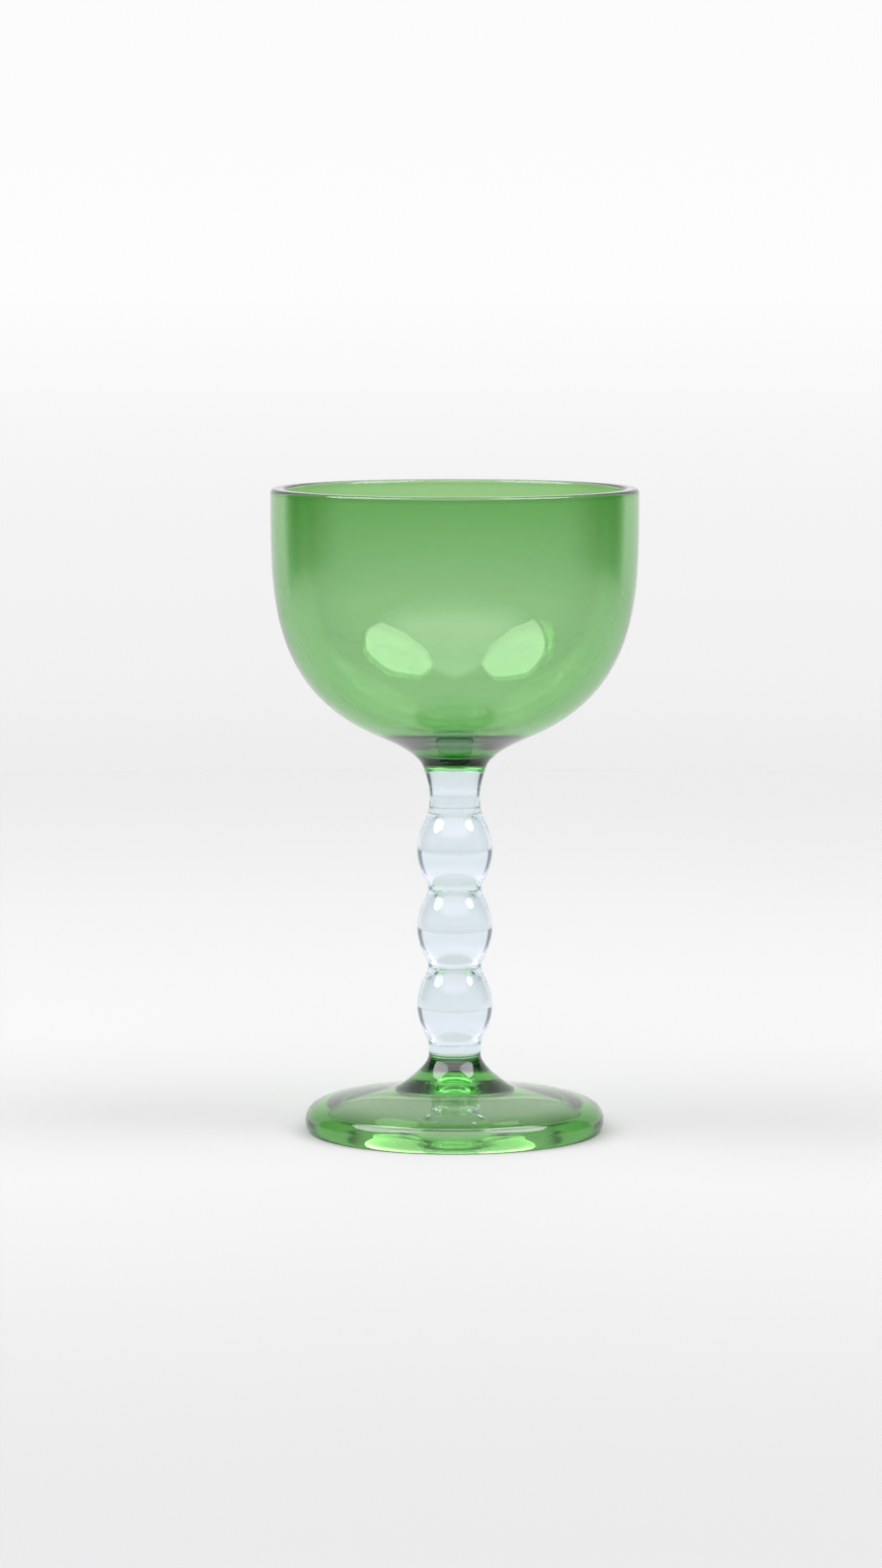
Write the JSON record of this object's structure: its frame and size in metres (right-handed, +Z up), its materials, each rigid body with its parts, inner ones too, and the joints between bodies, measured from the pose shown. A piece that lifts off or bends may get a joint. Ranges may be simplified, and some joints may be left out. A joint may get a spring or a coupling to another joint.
{
  "type": "wine glass",
  "caption": "Stemmed wine glass with a round green bowl, a clear beaded stem and a domed green foot.",
  "frame": {"origin": "centre of the flat resting ring under the foot", "axes": "+Z up along the stem, the glass's axis of revolution, towards the open rim; X and Y across the foot"},
  "size_m": [0.088, 0.088, 0.155],
  "materials": {
    "bowl_glass": "green blown glass, fire polished",
    "foot_glass": "green blown glass, fire polished",
    "deep_green_glass": "solid green glass, fire polished",
    "clear_glass": "clear solid glass, fire polished"
  },
  "bodies": {
    "root": {"bowl": "bowl_glass", "bowl_button": "deep_green_glass", "stem_collar": "clear_glass", "bead_top": "clear_glass", "bead_middle": "clear_glass", "bead_bottom": "clear_glass", "stem_neck": "clear_glass", "foot_post": "deep_green_glass", "foot_plate": "foot_glass"}
  },
  "joints": []
}
